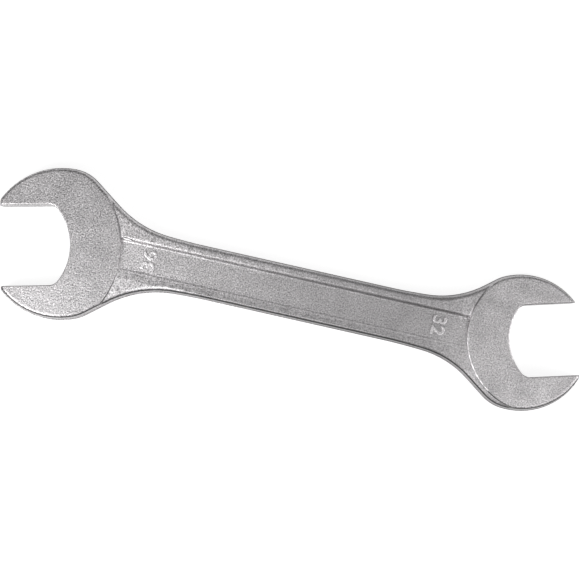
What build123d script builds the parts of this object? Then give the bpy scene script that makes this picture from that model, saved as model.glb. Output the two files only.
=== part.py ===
from build123d import *
import os
from math import cos, radians, sin, sqrt, tan

# Double open end wrench for 36 mm and 32 mm nuts: one flat drop forging in steel.
# Lengths are in millimetres and angles in degrees. +X runs along the handle from the
# large head to the small one, +Y across it and +Z up, and the wrench lies on its heads.

os.makedirs("parts", exist_ok=True)

# The nuts, and how much wider than its nut each mouth is
large_across_flats = 36.0
small_across_flats = 32.0
jaw_clearance = 0.15

# Thickness at the heads, along the rims of the handle and in the panel between the rims
head_thickness = 13.0
rim_thickness = 11.0
web_thickness = 8.0

# Handle
head_spacing = 209.6
handle_width = 23.3
panel_width = 14.2

# Heads: round cheeks, cut square across the jaws where their tips get down to this width
large_head_radius = 33.9
large_head_drop = 1.4
large_mouth_angle = 13.6
large_tip_width = 2.1
small_head_radius = 30.25
small_head_rise = 0.5
small_mouth_angle = 15.2
small_tip_width = 0.6
tip_radius = 3.0

# Mouths: straight flats, a wide round throat and a tight corner between them
large_throat_radius = 26.0
large_throat_back = 4.3
large_mouth_shift = 0.6
small_throat_radius = 24.0
small_throat_back = 5.5
small_mouth_shift = 0.5
throat_corner_radius = 5.2

# Raised faces of the heads, which end in an arc across each neck
large_pad_radius = 42.6
large_pad_back = 27.1
small_pad_radius = 32.4
small_pad_back = 24.6

# Necks: from the cheek over a round shoulder, down a straight line, round the knee and
# along a slight flare to the hip, where the handle runs straight. A mouth leans towards
# the open side of its head, and the shoulder on the closed side cuts deeper. The knee's
# radius is a share of the head's.
closed_shoulder_angle = 35.5
open_shoulder_angle = 39.6
large_closed_cut = 3.35
small_closed_cut = 1.7
large_open_cut = 0.7
small_open_cut = 0.4
shoulder_radius = 17.6
knee_share = 1.4
hip_radius = 200.0
flare_angle = 3.0
flare_length = 24.0

# Draft and rounding left by the dies, and the land where the flash was trimmed
side_draft = 7.0
pad_draft = 20.0
panel_draft = 32.0
pad_edge_radius = 1.4
pad_back_edge_radius = 0.5
rim_edge_radius = 1.9
panel_end_radius = 2.5
panel_edge_radius = 1.6
panel_floor_radius = 1.2
panel_tuck = 6.0
mouth_edge_chamfer = 0.25
land_height = 1.8
land_proud = 0.15

# Slack allowed when faces and edges are picked by their place
hair = 0.001

up = Vector(0, 0, 1)
half_turn = 180
large_x = -head_spacing / 2
small_x = head_spacing / 2
half_width = handle_width / 2


# Plane of a head: the origin in the cheeks' centre and +X out of the mouth
def head_plane(x, y, lean):
    return Plane(origin=(x, y, 0), x_dir=Vector(cos(radians(lean)), sin(radians(lean))), z_dir=up)


large_head = head_plane(large_x, -large_head_drop, large_mouth_angle + half_turn)
small_head = head_plane(small_x, small_head_rise, small_mouth_angle)


# Corner points of one side of a neck: where the shoulder leaves the cheek, where it
# meets the straight line, the knee and the hip. They are worked out with the handle
# along +X and this side at +Y, then turned by way and side to where they belong.
def neck_side(head, head_radius, lean, cut, way, side):
    centre = Vector(0, head.origin.Y * side)
    outward = Vector(sin(radians(lean)), cos(radians(lean)))
    along = Vector(cos(radians(lean)), -sin(radians(lean)))
    line_distance = head_radius - cut
    foot = centre + outward * line_distance
    knee_height = half_width + flare_length * tan(radians(flare_angle))
    knee = foot + along * ((foot.Y - knee_height) / sin(radians(lean)))
    hip = Vector(knee.X + flare_length, half_width)
    cheek_gap = head_radius - shoulder_radius
    line_start = foot - along * sqrt(cheek_gap ** 2 - (line_distance - shoulder_radius) ** 2)
    shoulder_centre = line_start - outward * shoulder_radius
    cheek_end = centre + (shoulder_centre - centre) * (head_radius / cheek_gap)
    return [
        Vector(head.origin.X + way * point.X, side * point.Y)
        for point in (cheek_end, line_start, knee, hip)]


large_closed = neck_side(large_head, large_head_radius, closed_shoulder_angle, large_closed_cut, 1, 1)
large_open = neck_side(large_head, large_head_radius, open_shoulder_angle, large_open_cut, 1, -1)
small_open = neck_side(small_head, small_head_radius, open_shoulder_angle, small_open_cut, -1, 1)
small_closed = neck_side(small_head, small_head_radius, closed_shoulder_angle, small_closed_cut, -1, -1)

# Outline of the whole forging, before its mouths are cut
with BuildSketch() as outline:
    with BuildLine():
        for near, near_radius, far, far_radius in (
                (large_open, large_head_radius, small_closed, small_head_radius),
                (small_open, small_head_radius, large_closed, large_head_radius)):
            FilletPolyline(
                near[1], near[2], near[3], far[3], far[2], far[1],
                radius=(knee_share * near_radius, hip_radius, hip_radius, knee_share * far_radius))
        for neck in (large_open, small_closed, small_open, large_closed):
            TangentArc(neck[1], neck[0], tangent=neck[1] - neck[2])
        small_front = small_head.from_local_coords(Vector(small_head_radius, 0))
        ThreePointArc(small_closed[0], small_front, small_open[0])
        large_front = large_head.from_local_coords(Vector(large_head_radius, 0))
        ThreePointArc(large_closed[0], large_front, large_open[0])
    make_face()
    for head, head_radius, across_flats, tip_width in (
            (large_head, large_head_radius, large_across_flats, large_tip_width),
            (small_head, small_head_radius, small_across_flats, small_tip_width)):
        tip_height = (across_flats + jaw_clearance) / 2 + tip_width
        tip = head.from_local_coords(Vector(sqrt(head_radius ** 2 - tip_height ** 2), 0))
        with BuildSketch(Plane(origin=tip, x_dir=head.x_dir, z_dir=up), mode=Mode.PRIVATE) as beyond:
            Rectangle(large_head_radius, large_head_radius * 2, align=(Align.MIN, Align.CENTER))
        add(beyond.sketch, mode=Mode.SUBTRACT)
        fillet(outline.vertices().sort_by(Axis(tip, head.x_dir))[-2:], radius=tip_radius)


# Mouth seen from above: the throat's arc between the flats, open past the jaw tips
def mouth_sketch(head, head_radius, shift, across_flats, throat_radius, throat_back):
    width = across_flats + jaw_clearance
    with BuildSketch(head) as mouth:
        with Locations((throat_radius - throat_back, shift)):
            Circle(throat_radius)
            Rectangle(throat_radius * 2, width, mode=Mode.INTERSECT)
            Rectangle(head_radius, width, align=(Align.MIN, Align.CENTER))
        fillet(mouth.vertices().sort_by(Axis.X)[:2], radius=throat_corner_radius)
    return mouth.sketch


large_mouth = mouth_sketch(
    large_head, large_head_radius, large_mouth_shift, large_across_flats, large_throat_radius,
    large_throat_back)
small_mouth = mouth_sketch(
    small_head, small_head_radius, small_mouth_shift, small_across_flats, small_throat_radius,
    small_throat_back)

# The upper half is built on the parting plane between the dies, and mirrored at the end.
# Hollow between the rims, drawn upwards from its wide mouth and turned over when it is cut.
panel_start = large_x + large_pad_back - panel_tuck
panel_end = small_x - small_pad_back + panel_tuck
with BuildPart() as panel:
    with BuildSketch():
        with Locations(((panel_start + panel_end) / 2, 0)):
            RectangleRounded(panel_end - panel_start, panel_width, panel_end_radius)
    extrude(amount=(rim_thickness - web_thickness) / 2, taper=panel_draft)
    fillet(panel.faces().sort_by(Axis.Z)[-1].edges(), radius=panel_floor_radius)

# Handle, with its rims rounded on both sides
with BuildPart() as handle:
    with BuildSketch():
        add(outline.sketch)
    extrude(amount=rim_thickness / 2)
    draft(handle.faces().filter_by(Axis.Z, reverse=True), neutral_plane=Plane.XY, angle=side_draft)
    fillet(handle.faces().sort_by(Axis.Z)[-1].edges(), radius=rim_edge_radius)
    mirror(panel.part, about=Plane.XY.offset(rim_thickness / 4), mode=Mode.SUBTRACT)
    fillet(handle.faces().sort_by(Axis.Z)[-1].inner_wires()[0].edges(), radius=panel_edge_radius)

# Everything between the raised faces: a block with a cone taken out of it for each head,
# so that a raised face ends in a sloping step
slope = tan(radians(pad_draft))
step_bottom = slope * rim_thickness / 2
step_top = step_bottom - slope * head_thickness
with BuildPart() as between:
    Box(
        head_spacing + large_head_radius, large_head_radius * 3, head_thickness,
        align=(Align.CENTER, Align.CENTER, Align.MIN))
    for head, pad_radius, pad_back, shift in (
            (large_head, large_pad_radius, large_pad_back, large_mouth_shift),
            (small_head, small_pad_radius, small_pad_back, small_mouth_shift)):
        with Locations(head.from_local_coords(Vector(pad_radius - pad_back, shift))):
            Cone(
                pad_radius + step_bottom, pad_radius + step_top, head_thickness,
                align=(Align.CENTER, Align.CENTER, Align.MIN), mode=Mode.SUBTRACT)

# Heads, with a rounded edge above each step
with BuildPart() as heads:
    with BuildSketch():
        add(outline.sketch)
    extrude(amount=head_thickness / 2)
    draft(heads.faces().filter_by(Axis.Z, reverse=True), neutral_plane=Plane.XY, angle=side_draft)
    fillet(heads.faces().sort_by(Axis.Z)[-1].edges(), radius=pad_edge_radius)
    add(between.part, mode=Mode.SUBTRACT)
    raised_edges = heads.faces().group_by(Axis.Z)[-1].edges().filter_by(GeomType.CIRCLE)
    lip = slope * (head_thickness - rim_thickness) / 2
    step_radii = (large_pad_radius - lip, small_pad_radius - lip)
    fillet(
        raised_edges.filter_by(lambda edge: min(abs(edge.radius - radius) for radius in step_radii) < hair),
        radius=pad_back_edge_radius)

# Both together, with the mouths cut, and the lower half mirrored from the upper one. The
# land stands out all round the forging where the dies met, and the mouths cut it too.
with BuildPart() as forging:
    add(handle.part)
    add(heads.part)
    with BuildSketch():
        add(large_mouth)
        add(small_mouth)
    extrude(amount=head_thickness, mode=Mode.SUBTRACT)
    walls = forging.faces(Select.LAST).filter_by(lambda face: abs(face.normal_at().Z) < hair)
    chamfer([wall.edges().sort_by(Axis.Z)[-1] for wall in walls], length=mouth_edge_chamfer)
    mirror(about=Plane.XY)
    with BuildSketch():
        add(outline.sketch)
        offset(amount=land_proud)
        add(large_mouth, mode=Mode.SUBTRACT)
        add(small_mouth, mode=Mode.SUBTRACT)
    extrude(amount=land_height / 2, both=True)

# The finished wrench, lying on its heads with the middle of its outline over the origin
middle = forging.part.bounding_box().center()
with BuildPart(Plane(origin=(-middle.X, -middle.Y, head_thickness / 2))) as wrench:
    add(forging.part)

wrench.part.label = "wrench"
export_step(wrench.part, "parts/wrench.step")
print("wrench", wrench.part.volume, wrench.part.is_valid, wrench.part.bounding_box())
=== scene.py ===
# %% [markdown]
# # A forged open end wrench
#
# This lesson dresses a double open end wrench, made for 36 mm and 32 mm nuts. The real tool is
# one piece of steel. Two dies close on a hot bar, the flash round the edge is trimmed off,
# the mouths are cut to size, and the whole is hardened and blasted clean. So there is one
# body here, and the work goes into its surface, its size numbers and the light.
#
# The frame comes first. It loads the forging at its real size, in metres, lying on its heads
# with +X towards the small head and +Z up. Its box is kept.

# %% Load the forging
import bpy
from math import cos, radians, sin
from mathutils import Matrix, Vector


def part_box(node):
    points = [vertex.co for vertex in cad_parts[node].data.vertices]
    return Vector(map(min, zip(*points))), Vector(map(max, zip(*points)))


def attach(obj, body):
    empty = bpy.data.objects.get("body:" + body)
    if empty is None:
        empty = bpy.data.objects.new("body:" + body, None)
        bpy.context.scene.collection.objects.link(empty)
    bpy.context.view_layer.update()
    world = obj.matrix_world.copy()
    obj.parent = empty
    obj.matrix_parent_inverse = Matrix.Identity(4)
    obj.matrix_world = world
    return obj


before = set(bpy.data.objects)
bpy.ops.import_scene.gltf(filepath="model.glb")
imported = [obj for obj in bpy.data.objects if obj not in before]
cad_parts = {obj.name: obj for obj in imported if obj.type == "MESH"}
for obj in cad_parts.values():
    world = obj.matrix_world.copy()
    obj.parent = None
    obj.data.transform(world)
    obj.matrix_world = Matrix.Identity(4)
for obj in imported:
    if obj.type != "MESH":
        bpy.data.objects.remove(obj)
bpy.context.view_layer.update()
mm = 0.001
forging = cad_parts["wrench"]
low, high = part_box("wrench")
length, width, thickness = high - low
print(f"forging {length / mm:.1f} x {width / mm:.1f} x {thickness / mm:.1f} mm")

# %% [markdown]
# ## The camera
#
# The photographer stood almost straight above the wrench, with a long lens. The picture is
# turned a little, so that the handle runs down to the right. A camera looks along its own
# -Z, so it is tipped about X by the small tilt and then turned about Z. The lens is found
# from how many pixels of the picture one unit of slope covers.

# %% Camera
picture_width = 579
lens_pixels = 1844
camera_distance = 824.3 * mm
camera_tilt = radians(2.8)
picture_turn = radians(12.68)
picture_offset = Vector((-0.8, -2.33)) * mm
aim_height = thickness / 2

camera_data = bpy.data.cameras.new("camera")
camera = bpy.data.objects.new("camera", camera_data)
bpy.context.scene.collection.objects.link(camera)
camera_data.sensor_width = 36
camera_data.lens = camera_data.sensor_width * lens_pixels / picture_width
camera_data.clip_start = 10 * mm
camera_data.clip_end = 10
turn = Matrix.Rotation(picture_turn, 3, "Z")
aim = turn @ Vector((-picture_offset.x, -picture_offset.y, 0)) + Vector((0, 0, aim_height))
back = turn @ Vector((0, -sin(camera_tilt), cos(camera_tilt)))
camera.location = aim + back * camera_distance
camera.rotation_euler = (camera_tilt, 0, picture_turn)
bpy.context.scene.camera = camera
bpy.context.scene.view_settings.view_transform = "Standard"
print(f"camera {camera_data.lens:.1f} mm lens, {camera_distance / mm:.0f} mm above")

# %% [markdown]
# ## The table
#
# The wrench lies on a white sheet that is pure white in the picture, with only a breath of
# shadow at its edges. The floor is a matt grey plane. To the camera and in reflections it
# also glows, which lifts it to white and leaves a faint shadow in place. It lies a hair
# under the heads, so that the two surfaces never share one plane.

# %% Floor
def floor_material(glow):
    material = bpy.data.materials.new("white_sheet")
    material.use_nodes = True
    nodes, links = material.node_tree.nodes, material.node_tree.links
    shader = nodes["Principled BSDF"]
    shader.inputs["Base Color"].default_value = (0.3, 0.3, 0.3, 1)
    shader.inputs["Roughness"].default_value = 0.9
    shader.inputs["Specular IOR Level"].default_value = 0.1
    shader.inputs["Emission Color"].default_value = (1, 1, 1, 1)
    path = nodes.new("ShaderNodeLightPath")
    seen = nodes.new("ShaderNodeMath")
    seen.operation = "MAXIMUM"
    links.new(path.outputs["Is Camera Ray"], seen.inputs[0])
    links.new(path.outputs["Is Glossy Ray"], seen.inputs[1])
    strength = nodes.new("ShaderNodeMath")
    strength.operation = "MULTIPLY"
    strength.inputs[1].default_value = glow
    links.new(seen.outputs[0], strength.inputs[0])
    links.new(strength.outputs[0], shader.inputs["Emission Strength"])
    return material


floor_size = 6
floor_gap = 0.02 * mm
bpy.ops.object.select_all(action="DESELECT")
bpy.ops.mesh.primitive_plane_add(size=floor_size, location=(0, 0, -floor_gap))
floor = bpy.context.object
floor.name = "floor"
floor.data.materials.append(floor_material(glow=0.85))
print("floor", floor_size, "m wide")

# %% [markdown]
# ## The lamps
#
# The steel is satin, so it shows lamps as soft patches, and large soft boxes suit it better
# than points. Two stand over the large head's lower jaw and a third lies lower, at the
# lower left of the picture: they make that jaw the brightest place, and their light falls
# off along the wrench. Three more stand round the small head.

# %% Soft boxes
def soft_box(name, place, target, size, power):
    data = bpy.data.lights.new(name, "AREA")
    data.shape = "SQUARE"
    data.size = size
    data.energy = power
    lamp = bpy.data.objects.new(name, data)
    bpy.context.scene.collection.objects.link(lamp)
    lamp.location = place
    lamp.rotation_euler = (Vector(target) - Vector(place)).to_track_quat("-Z", "Y").to_euler()
    print(name, f"{power} W, {size / mm:.0f} mm wide")


large_head_place = Vector((-0.1, 0, 0))
small_head_place = Vector((0.1, 0, 0))
soft_box("jaw_box", (-0.20, -0.13, 0.25), large_head_place, 0.12, 0.30)
soft_box("head_box", (-0.22, -0.18, 0.35), large_head_place, 0.2, 0.25)
soft_box("low_box", (-0.22, -0.26, 0.25), large_head_place, 0.2, 0.48)
soft_box("right_box", (0.30, -0.18, 0.5), small_head_place, 0.3, 0.66)
soft_box("edge_box", (0.50, -0.04, 0.22), small_head_place, 0.25, 0.9)
soft_box("far_box", (0.30, 0.18, 0.5), small_head_place, 0.3, 0.15)

# %% [markdown]
# ## The room
#
# Metal shows the room as much as the lamps. This one is bright overhead and dim towards the
# horizon, so the flat faces stay grey while the rounded edges and the walls turn dark and
# draw the outline. An even white room would wash those edges out.

# %% Room
ceiling_start = 0.6
horizon_light = 0.2
ceiling_light = 0.48

world = bpy.data.worlds.new("room")
bpy.context.scene.world = world
world.use_nodes = True
room = world.node_tree
direction = room.nodes.new("ShaderNodeTexCoord")
upward = room.nodes.new("ShaderNodeSeparateXYZ")
room.links.new(direction.outputs["Generated"], upward.inputs["Vector"])
ceiling = room.nodes.new("ShaderNodeMapRange")
ceiling.interpolation_type = "SMOOTHSTEP"
ceiling.inputs["From Min"].default_value = ceiling_start
ceiling.inputs["From Max"].default_value = 1
ceiling.inputs["To Min"].default_value = horizon_light
ceiling.inputs["To Max"].default_value = ceiling_light
room.links.new(upward.outputs["Z"], ceiling.inputs["Value"])
room.nodes["Background"].inputs["Color"].default_value = (1, 1, 1, 1)
room.links.new(ceiling.outputs["Result"], room.nodes["Background"].inputs["Strength"])
print("room", horizon_light, "to", ceiling_light)

# %% [markdown]
# ## The grain
#
# Blasted steel is covered with tiny dents, a little under a millimetre apart. Each dent
# catches the light its own way, which the eye reads as grain. Modelled one by one they
# would take millions of faces, so noise stands for them: a fine one for the dents, on a
# coarse one for the uneven metal below. The height goes to the bump and the tone to the
# colour.
#
# The grain is a node group, and so are the two effects after it, so that the numbers on the
# handle can share them with the forging. A group takes a place on the steel and puts out
# heights, tones and masks. Its nodes are small and many, so helpers make them.

# %% Helpers for the groups
def new_group(name, outputs):
    group = bpy.data.node_groups.new(name, "ShaderNodeTree")
    group.interface.new_socket("Vector", in_out="INPUT", socket_type="NodeSocketVector")
    for output in outputs:
        group.interface.new_socket(output, in_out="OUTPUT", socket_type="NodeSocketFloat")
    place = group.nodes.new("NodeGroupInput").outputs["Vector"]
    out = group.nodes.new("NodeGroupOutput")
    return group, place, out


def noise(tree, place, spacing, detail, roughness):
    node = tree.nodes.new("ShaderNodeTexNoise")
    node.inputs["Scale"].default_value = 1 / spacing
    node.inputs["Detail"].default_value = detail
    node.inputs["Roughness"].default_value = roughness
    tree.links.new(place, node.inputs["Vector"])
    return node.outputs["Fac"]


def ramp(tree, value, start, end, low, high, smooth=False):
    node = tree.nodes.new("ShaderNodeMapRange")
    node.interpolation_type = "SMOOTHSTEP" if smooth else "LINEAR"
    for name, number in (("From Min", start), ("From Max", end), ("To Min", low), ("To Max", high)):
        node.inputs[name].default_value = number
    tree.links.new(value, node.inputs["Value"])
    return node.outputs["Result"]


# One operation over all the values, from left to right
def combine(tree, operation, result, *values):
    for value in values:
        node = tree.nodes.new("ShaderNodeMath")
        node.operation = operation
        for socket, number in zip(node.inputs, (result, value)):
            if isinstance(number, (int, float)):
                socket.default_value = number
            else:
                tree.links.new(number, socket)
        result = node.outputs["Value"]
    return result


print("helpers for groups, noise, ramps and sums are ready")

# %% Grain
dent_spacing = 0.62 * mm
swell_spacing = 2.2 * mm
swell_share = 0.5
noise_mean = 0.5
noise_low, noise_high = 0.3, 0.7

grain, place, out = new_group("blast_grain", ("Height", "Tone"))
dents = noise(grain, place, dent_spacing, detail=2, roughness=0.6)
swells = noise(grain, place, swell_spacing, detail=1, roughness=0.5)
height = combine(grain, "ADD", dents, combine(grain, "MULTIPLY", swells, swell_share))
height = combine(grain, "SUBTRACT", height, noise_mean * (1 + swell_share))
grain.links.new(height, out.inputs["Height"])
grain.links.new(ramp(grain, dents, noise_low, noise_high, -1, 1), out.inputs["Tone"])
print("grain", len(grain.nodes), "nodes")

# %% [markdown]
# ## The scale from the fire
#
# Hot steel grows a skin of scale, and what blasting leaves of it makes the surface patchy.
# The handle also has painted light: it is painted darker from the large head towards the
# small one, as the lamps' light falls off, and lighter again just before it, and a painted
# shadow darkens the lower corner of the panel. The raised faces of the heads were ground
# first, so they have a tone and a grain of their own. All of it could be painted, but noise
# and ramps that read only the place need no picture and have no seam.

# %% Fire scale and painted light
def split(tree, vector):
    node = tree.nodes.new("ShaderNodeSeparateXYZ")
    tree.links.new(vector, node.inputs["Vector"])
    return node.outputs["X"], node.outputs["Y"], node.outputs["Z"]


# Mask that rises between the first two numbers and falls between the last two
def band(tree, value, rise, risen, fall, fallen):
    return combine(
        tree, "MULTIPLY", ramp(tree, value, rise, risen, 0, 1),
        ramp(tree, value, fall, fallen, 1, 0))


# Distance from the plane halfway up the forging, the same on its upper and lower side
def from_middle(tree, up):
    return combine(tree, "ABSOLUTE", combine(tree, "SUBTRACT", up, thickness / 2), 0)


cloud_spacing = 9 * mm
scale, place, out = new_group("fire_scale_and_painted_light", ("Handle Tone And Painted Light", "Head Tone", "Head", "Grain"))
along, across, up = split(scale, place)
clouds = noise(scale, place, cloud_spacing, detail=4, roughness=0.65)

# Painted light: the handle is painted darker from the large head towards the small one, as the
# lamps' light falls off, and lighter again at the small head's neck
painted_light_fall = ramp(scale, along, -80 * mm, 45 * mm, 1.34, 0.89)
painted_neck_light = ramp(scale, along, 65 * mm, 90 * mm, 1.0, 1.3, smooth=True)
handle_patches = ramp(scale, clouds, noise_low, noise_high, 0.92, 1.08)
# Painted shadow in the lower corner of the panel, strongest towards the large head
corner = band(scale, across, -9.8 * mm, -9.1 * mm, -6.8 * mm, -5.6 * mm)
corner = combine(scale, "MULTIPLY", corner, ramp(scale, along, -40 * mm, 60 * mm, 0.26, 0.05))
unshadowed_share = combine(scale, "SUBTRACT", 1, corner)
handle_tone_and_painted_light = combine(scale, "MULTIPLY", painted_light_fall, painted_neck_light, handle_patches, unshadowed_share)
scale.links.new(handle_tone_and_painted_light, out.inputs["Handle Tone And Painted Light"])

head_patches = ramp(scale, clouds, noise_low, noise_high, 0.91, 1.24)
head_rise = ramp(scale, along, -60 * mm, 60 * mm, 0.97, 1)
scale.links.new(combine(scale, "MULTIPLY", head_patches, head_rise), out.inputs["Head Tone"])
on_head = ramp(scale, from_middle(scale, up), 5.6 * mm, 6.1 * mm, 0, 1, smooth=True)
scale.links.new(on_head, out.inputs["Head"])

handle_grain = ramp(scale, along, -60 * mm, 40 * mm, 0.7, 0.4)
head_grain = ramp(scale, along, -80 * mm, 80 * mm, 0.7, 0.48)
head_grain = combine(scale, "MULTIPLY", on_head, head_grain)
scale.links.new(combine(scale, "MAXIMUM", handle_grain, head_grain), out.inputs["Grain"])
print("fire scale", len(scale.nodes), "nodes")

# %% [markdown]
# ## The wear of the dies, and masks for painted light
#
# Worn dies leave soft corners. On the real wrench the lower wall of the panel and both of
# its ends fade into the floor, while the solid has them crisp. The forging's own mesh is
# never changed, so the light is bent instead: a height that is greatest on the panel's floor
# fills the hollow for a second bump, and a mask says where that bump is used.
#
# The lower rim gets painted shade on its shoulder, under a painted highlight on its crest.
# Two masks mark where they may lie.

# %% Die wear and masks for painted light
panel_middle = 2 * mm
panel_reach = 90 * mm
panel_half = 8.8 * mm

# This group also holds the masks for painted shade and painted highlights
wear_and_light, place, out = new_group(
    "die_wear_and_painted_light", ("Softening", "Soft Side", "Lower Rim", "Lower Crest", "Painted Highlight Line", "Painted Jaw Shade"))
along, across, up = split(wear_and_light, place)
reach = combine(wear_and_light, "ABSOLUTE", combine(wear_and_light, "SUBTRACT", along, panel_middle), 0)
in_panel = combine(
    wear_and_light, "MULTIPLY",
    combine(wear_and_light, "LESS_THAN", combine(wear_and_light, "ABSOLUTE", across, 0), panel_half),
    combine(wear_and_light, "LESS_THAN", reach, panel_reach))
filling = combine(
    wear_and_light, "MULTIPLY", ramp(wear_and_light, from_middle(wear_and_light, up), 4.0 * mm, 5.5 * mm, 1.5, 0),
    ramp(wear_and_light, along, -45 * mm, 60 * mm, 1.05, 1.4), in_panel)
wear_and_light.links.new(filling, out.inputs["Softening"])

panel_ends = combine(
    wear_and_light, "MULTIPLY", combine(wear_and_light, "GREATER_THAN", reach, 76.5 * mm),
    combine(wear_and_light, "LESS_THAN", across, 5.4 * mm))
lower_side = ramp(wear_and_light, across, -2 * mm, 2 * mm, 1, 0)
wear_and_light.links.new(combine(wear_and_light, "MAXIMUM", lower_side, panel_ends), out.inputs["Soft Side"])

# Where the painted shade and painted highlight of the lower rim go
lower_rim = ramp(wear_and_light, across, -8.8 * mm, -8.4 * mm, 1, 0)
wear_and_light.links.new(lower_rim, out.inputs["Lower Rim"])
lower_crest = band(wear_and_light, along, -75 * mm, -50 * mm, 40 * mm, 65 * mm)
lower_crest = combine(wear_and_light, "MULTIPLY", lower_crest, lower_rim)
wear_and_light.links.new(lower_crest, out.inputs["Lower Crest"])
print("die wear", len(wear_and_light.nodes), "nodes")

# %% [markdown]
# ## Painted highlight lines
#
# At the small head, lines of painted highlight lie on the top of the step round its raised
# face, on the whole slope of that step above the panel, on the edge of the throat, and on the
# corner where the panel's upper wall meets the step. The step and the throat are round, so
# each line is a thin ring about their centres, cut off where the line ends. Noise breaks the
# lines up. The upper jaw is the other way round: its edge gets a painted dark line of shade,
# and a mask marks where.

# %% Painted highlight lines
line_blur = 0.1 * mm


def ring(tree, place, centre, inner, outer):
    away = tree.nodes.new("ShaderNodeVectorMath")
    away.operation = "MULTIPLY_ADD"
    away.inputs[1].default_value = (1, 1, 0)
    away.inputs[2].default_value = (-centre[0], -centre[1], 0)
    tree.links.new(place, away.inputs[0])
    radius = tree.nodes.new("ShaderNodeVectorMath")
    radius.operation = "LENGTH"
    tree.links.new(away.outputs["Vector"], radius.inputs[0])
    return band(
        tree, radius.outputs["Value"], inner - line_blur, inner + line_blur,
        outer - line_blur, outer + line_blur)


patch_spacing = 1.6 * mm
raised_face_centre = (113.435 * mm, 4.432 * mm)
throat_centre = (123.761 * mm, 7.237 * mm)

at_step = combine(wear_and_light, "LESS_THAN", along, 96 * mm)
below_edge = ramp(wear_and_light, across, 13 * mm, 16 * mm, 1, 0)
# Painted highlights, each line with the grey it lifts the colour to
step_line = combine(
    wear_and_light, "MULTIPLY", ring(wear_and_light, place, raised_face_centre, 31.62 * mm, 32.28 * mm),
    at_step, 0.95, ramp(wear_and_light, across, -10 * mm, 20 * mm, 1, 0.6), below_edge)
upper_line = combine(
    wear_and_light, "MULTIPLY", ring(wear_and_light, place, raised_face_centre, 31.6 * mm, 33.2 * mm),
    at_step, 0.8, ramp(wear_and_light, across, 3 * mm, 7 * mm, 0, 1), below_edge)
throat_line = combine(
    wear_and_light, "MULTIPLY", ring(wear_and_light, place, throat_centre, 23.9 * mm, 24.6 * mm),
    combine(wear_and_light, "LESS_THAN", along, 104 * mm),
    combine(wear_and_light, "LESS_THAN", across, 13.2 * mm), 0.9)
panel_corner = combine(
    wear_and_light, "MULTIPLY", ramp(wear_and_light, along, 75 * mm, 77.5 * mm, 0, 0.85),
    combine(wear_and_light, "LESS_THAN", along, 81 * mm),
    band(wear_and_light, across, 5.6 * mm, 6.2 * mm, 8.8 * mm, 9.2 * mm))
painted_highlights = combine(wear_and_light, "MAXIMUM", step_line, throat_line, upper_line, panel_corner)
patches = noise(wear_and_light, place, patch_spacing, detail=2, roughness=0.6)
painted_highlights = combine(wear_and_light, "MULTIPLY", painted_highlights, ramp(wear_and_light, patches, 0.35, 0.6, 0.5, 1))
wear_and_light.links.new(painted_highlights, out.inputs["Painted Highlight Line"])

# Painted shade: a dark line along the edge of the small head's upper jaw
painted_jaw_shade = combine(
    wear_and_light, "MULTIPLY", combine(wear_and_light, "GREATER_THAN", along, 100 * mm),
    combine(wear_and_light, "GREATER_THAN", across, 8 * mm))
wear_and_light.links.new(painted_jaw_shade, out.inputs["Painted Jaw Shade"])
# Node count of the group with its painted highlight lines
print("with rubbed lines", len(wear_and_light.nodes), "nodes")

# %% [markdown]
# ## Worn edges, and painted shade and highlights by facing
#
# Two things depend on which way the surface faces. A bevel node gives a rounded normal near
# every edge. Where it turns away from the true one there is an edge, so comparing the two
# finds all the edges without painting one. The normal itself tells walls from faces: walls
# get painted shade, the shoulder of the lower rim a darker painted shade, its crest a painted
# highlight, and the edge of the upper jaw a painted dark line of shade.

# %% Edges and painted shade
edge_radius = 0.55 * mm


def rounded_normal(tree):
    bevel = tree.nodes.new("ShaderNodeBevel")
    bevel.samples = 6
    bevel.inputs["Radius"].default_value = edge_radius
    return bevel.outputs["Normal"]


def edge_mask(tree, rounded):
    geometry = tree.nodes.new("ShaderNodeNewGeometry")
    facing = tree.nodes.new("ShaderNodeVectorMath")
    facing.operation = "DOT_PRODUCT"
    tree.links.new(rounded, facing.inputs[0])
    tree.links.new(geometry.outputs["Normal"], facing.inputs[1])
    return ramp(tree, facing.outputs["Value"], 1.0, 0.94, 0, 1)


# The sideways normal is below zero where a wall faces the lower edge of the picture, and the
# upright one runs from 0 on a wall to 1 on a face
def painted_wall_and_rim_light(tree, sideways, upright, wear_and_light_masks):
    # Painted shade: walls are painted 0.72 as bright as the faces
    painted_wall_shade = ramp(tree, upright, 0.1, 0.7, 0.72, 1.0)
    downward = ramp(tree, sideways, -0.14, -0.06, 1, 0)
    # Painted shade on the shoulder of the lower rim where it faces -Y, and a painted highlight on
    # its crest
    painted_shoulder_shade = combine(
        tree, "MULTIPLY", band(tree, upright, 0.2, 0.42, 0.7, 0.84), wear_and_light_masks["Lower Rim"], 0.85)
    painted_crest_highlight = combine(
        tree, "MULTIPLY", band(tree, upright, 0.84, 0.92, 0.98, 0.995),
        wear_and_light_masks["Lower Crest"], 1.3)
    painted_rim_light = combine(tree, "MULTIPLY", combine(tree, "SUBTRACT", painted_crest_highlight, painted_shoulder_shade), downward)
    return combine(tree, "MULTIPLY", painted_wall_shade, combine(tree, "ADD", painted_rim_light, 1))


def jaw_shade_factor(tree, sideways, upright, wear_and_light_masks):
    # Painted shade on the edge of the upper jaw
    shaded_edge = combine(
        tree, "MULTIPLY", band(tree, upright, 0.3, 0.5, 0.9, 0.98),
        ramp(tree, sideways, -0.6, -0.3, 1, 0), wear_and_light_masks["Painted Jaw Shade"], 0.85)
    return combine(tree, "SUBTRACT", 1, shaded_edge)


print(f"edges are seen as {edge_radius / mm:.2f} mm round")

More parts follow.
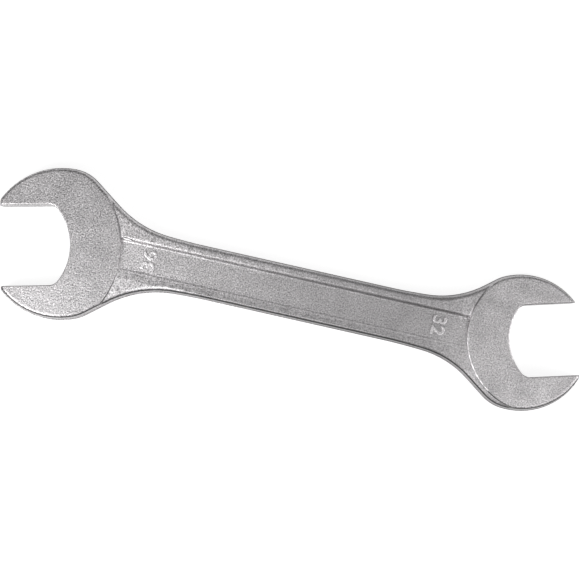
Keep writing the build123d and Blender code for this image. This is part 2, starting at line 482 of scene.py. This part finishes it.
# %% [markdown]
# ## The steel
#
# One material covers the forging. Its colour is a grey metal, a little warm, times the tones
# and the painted light and shade above. On the heads the worn edges are brighter and
# smoother, and the grain is steeper, because they were blasted after grinding. The rounded
# normal also softens the light on every edge. Two bumps start from it, one with the panel's
# wall as sharp as the solid has it and one with the hollow filled, and the soft side picks
# the second. The same recipe with a brighter grey, a painted highlight, serves the numbers
# and lumps.

# %% Bumps
def use_group(tree, place, name):
    node = tree.nodes.new("ShaderNodeGroup")
    node.node_tree = bpy.data.node_groups[name]
    tree.links.new(place, node.inputs["Vector"])
    return node.outputs


def steel_normal(tree, rounded, sharp_height, wear_and_light_masks):
    soft_height = combine(tree, "ADD", sharp_height, wear_and_light_masks["Softening"])
    pick = tree.nodes.new("ShaderNodeMix")
    pick.data_type = "VECTOR"
    tree.links.new(wear_and_light_masks["Soft Side"], pick.inputs["Factor"])
    choices = [socket for socket in pick.inputs if socket.type == "VECTOR" and socket.name in "AB"]
    for height, choice in zip((sharp_height, soft_height), choices):
        bump = tree.nodes.new("ShaderNodeBump")
        bump.inputs["Distance"].default_value = mm
        tree.links.new(height, bump.inputs["Height"])
        tree.links.new(rounded, bump.inputs["Normal"])
        tree.links.new(bump.outputs["Normal"], choice)
    return next(socket for socket in pick.outputs if socket.type == "VECTOR")


print("sharp and soft bumps are ready")

# %% Steel
warm_tint = (("Red", 1.014), ("Green", 0.986), ("Blue", 1.0))
worn_edge_grey = 0.72


def steel_material(name, grey):
    material = bpy.data.materials.new(name)
    material.use_nodes = True
    tree = material.node_tree
    links = tree.links
    shader = tree.nodes["Principled BSDF"]
    shader.inputs["Metallic"].default_value = 1
    coordinates = tree.nodes.new("ShaderNodeTexCoord")
    place = coordinates.outputs["Object"]
    dents = use_group(tree, place, "blast_grain")
    tones = use_group(tree, place, "fire_scale_and_painted_light")
    wear_and_light_masks = use_group(tree, place, "die_wear_and_painted_light")
    sideways, up = split(tree, coordinates.outputs["Normal"])[1:]
    upright = combine(tree, "ABSOLUTE", up, 0)
    rounded = rounded_normal(tree)
    worn_edge = combine(tree, "MULTIPLY", edge_mask(tree, rounded), tones["Head"])

    tone = tree.nodes.new("ShaderNodeMix")
    links.new(tones["Head"], tone.inputs["Factor"])
    links.new(tones["Handle Tone And Painted Light"], tone.inputs["A"])
    links.new(tones["Head Tone"], tone.inputs["B"])
    speckle = combine(tree, "ADD", combine(tree, "MULTIPLY", dents["Tone"], tones["Grain"]), 1)
    # The grey carries the painted shade of the walls and the painted light of the lower rim
    grey_with_painted_light = combine(tree, "MULTIPLY", painted_wall_and_rim_light(tree, sideways, upright, wear_and_light_masks), grey)
    shade = combine(tree, "MULTIPLY", tone.outputs["Result"], speckle, grey_with_painted_light)
    bright_edge = combine(tree, "MULTIPLY", worn_edge, worn_edge_grey)
    # The painted highlight lines lift the colour to their own grey
    shade = combine(tree, "MAXIMUM", shade, bright_edge, wear_and_light_masks["Painted Highlight Line"])
    shade = combine(tree, "MULTIPLY", shade, jaw_shade_factor(tree, sideways, upright, wear_and_light_masks))
    colour = tree.nodes.new("ShaderNodeCombineColor")
    for channel, share in warm_tint:
        links.new(combine(tree, "MULTIPLY", shade, share), colour.inputs[channel])
    links.new(colour.outputs["Color"], shader.inputs["Base Color"])

    smoothing = combine(tree, "MULTIPLY", worn_edge, 0.14)
    links.new(combine(tree, "SUBTRACT", 0.46, smoothing), shader.inputs["Roughness"])
    dent_depth = ramp(tree, tones["Head"], 0, 1, 0.077, 0.11)
    dent_height = combine(tree, "MULTIPLY", dents["Height"], dent_depth)
    links.new(steel_normal(tree, rounded, dent_height, wear_and_light_masks), shader.inputs["Normal"])
    return material


forging.data.materials.clear()
forging.data.materials.append(steel_material("forged_steel", grey=0.45))
print("steel on", forging.name)

# %% [markdown]
# ## The size numbers
#
# The dies leave the nut size standing up from the floor of the panel, next to each head. The
# tops of the figures point to the head they belong to. Each number is set as text, which
# draws cleaner strokes than figures built from boxes. It is turned into a mesh, and only
# then stretched and put in its place. Its foot is sunk a little into the steel, and its
# edges are rounded as forging would leave them.

# %% Numbers
panel_floor = 10.5 * mm
figure_sink = 0.25 * mm
figure_height = 0.7 * mm


def size_number(name, body, centre, reading_turn, tall, wide, grey):
    bpy.ops.object.select_all(action="DESELECT")
    bpy.ops.object.text_add(location=(0, 0, 0))
    text = bpy.context.object
    text.data.body = body
    text.data.size = 1
    text.data.resolution_u = 6
    text.data.extrude = 0.05
    text.data.bevel_depth = 0.03
    text.data.bevel_resolution = 3
    text.data.align_x = "CENTER"
    text.data.align_y = "CENTER"
    bpy.ops.object.convert(target="MESH")
    piece = bpy.context.object
    piece.name = name
    corners = [vertex.co for vertex in piece.data.vertices]
    lows = Vector(min(corner[axis] for corner in corners) for axis in range(3))
    highs = Vector(max(corner[axis] for corner in corners) for axis in range(3))
    size = highs - lows
    deep = figure_sink + figure_height
    shrink = Matrix.Diagonal((wide / size.x, tall / size.y, deep / size.z, 1))
    stand = Matrix.Translation((centre[0], centre[1], panel_floor - figure_sink + deep / 2))
    spin = Matrix.Rotation(reading_turn, 4, "Z")
    piece.data.transform(stand @ spin @ shrink @ Matrix.Translation(-(lows + highs) / 2))
    bpy.ops.object.shade_smooth_by_angle(angle=radians(50))
    piece.data.materials.clear()
    piece.data.materials.append(steel_material("painted_highlight_" + name, grey))
    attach(piece, "root")
    print(name, len(piece.data.polygons), "faces")


quarter_turn = radians(90)
# The numbers get a brighter grey than the forging as a painted highlight
size_number("number_36", "36", (-63.6 * mm, 1.2 * mm), quarter_turn, 6.4 * mm, 9.4 * mm, 0.58)
size_number("number_32", "32", (68.4 * mm, 1.2 * mm), -quarter_turn, 6.4 * mm, 9.0 * mm, 0.68)

# %% [markdown]
# ## Lumps left by the dies
#
# Worn dies leave small lumps on a forging, mostly where the panel runs into the raised
# faces. Each starts as a ball. In edit mode its points are pushed in and out at random, from
# a fixed seed, and smoothed again, so that no two lumps are alike. Then it is pressed flat
# and set at its level. The lumps are joined into one piece.
#
# A level that is typed doesn't follow the steel, so it should be checked on the mesh. Six
# lumps sit half sunk, as all of them should. The first and the fourth jut out of a slope, the
# third hangs over the panel's floor and the seventh is buried.

# %% Lumps
lumps = (
    # along, across, level, half the length, width and height in mm, and turn in degrees
    (-74.6, 8.3, 11.9, 2.6, 0.55, 0.22, -4),
    (-79.6, 16.6, 11.9, 1.5, 0.5, 0.18, -62),
    (79.0, 6.9, 11.95, 0.7, 0.45, 0.25, 20),
    (80.9, 5.4, 11.95, 0.5, 0.5, 0.22, 0),
    (78.4, 3.1, 10.5, 0.6, 0.4, 0.22, 60),
    (76.2, 5.6, 10.6, 0.5, 0.35, 0.2, 10),
    (81.9, -2.0, 10.55, 0.55, 0.4, 0.22, 80),
    (73.0, -4.4, 10.5, 0.5, 0.4, 0.16, 30),
    (86.4, -14.6, 11.95, 0.9, 0.45, 0.25, 75),
    (88.6, -18.4, 11.8, 0.8, 0.4, 0.25, 60),
)
unevenness = 0.5 * mm
pieces = []
for seed, (along, across, level, long, wide, high, lean) in enumerate(lumps):
    bpy.ops.object.select_all(action="DESELECT")
    bpy.ops.mesh.primitive_ico_sphere_add(subdivisions=3, radius=mm, location=(0, 0, 0))
    bpy.ops.object.mode_set(mode="EDIT")
    bpy.ops.mesh.select_all(action="SELECT")
    bpy.ops.transform.vertex_random(offset=unevenness, uniform=0, normal=1, seed=seed)
    bpy.ops.mesh.vertices_smooth(factor=0.5, repeat=2)
    bpy.ops.object.mode_set(mode="OBJECT")
    lump = bpy.context.object
    lump.data.transform(
        Matrix.Translation((along * mm, across * mm, level * mm))
        @ Matrix.Rotation(radians(lean), 4, "Z") @ Matrix.Diagonal((long, wide, high, 1)))
    pieces.append(lump)
bpy.ops.object.select_all(action="DESELECT")
for lump in pieces:
    lump.select_set(True)
bpy.context.view_layer.objects.active = pieces[0]
bpy.ops.object.join()
forge_lumps = bpy.context.object
forge_lumps.name = "forge_lumps"
bpy.ops.object.shade_smooth()
forge_lumps.data.materials.clear()
# The lumps get a brighter grey as a painted highlight
forge_lumps.data.materials.append(steel_material("painted_highlight_steel", grey=0.56))
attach(forge_lumps, "root")
print("lumps", len(lumps))
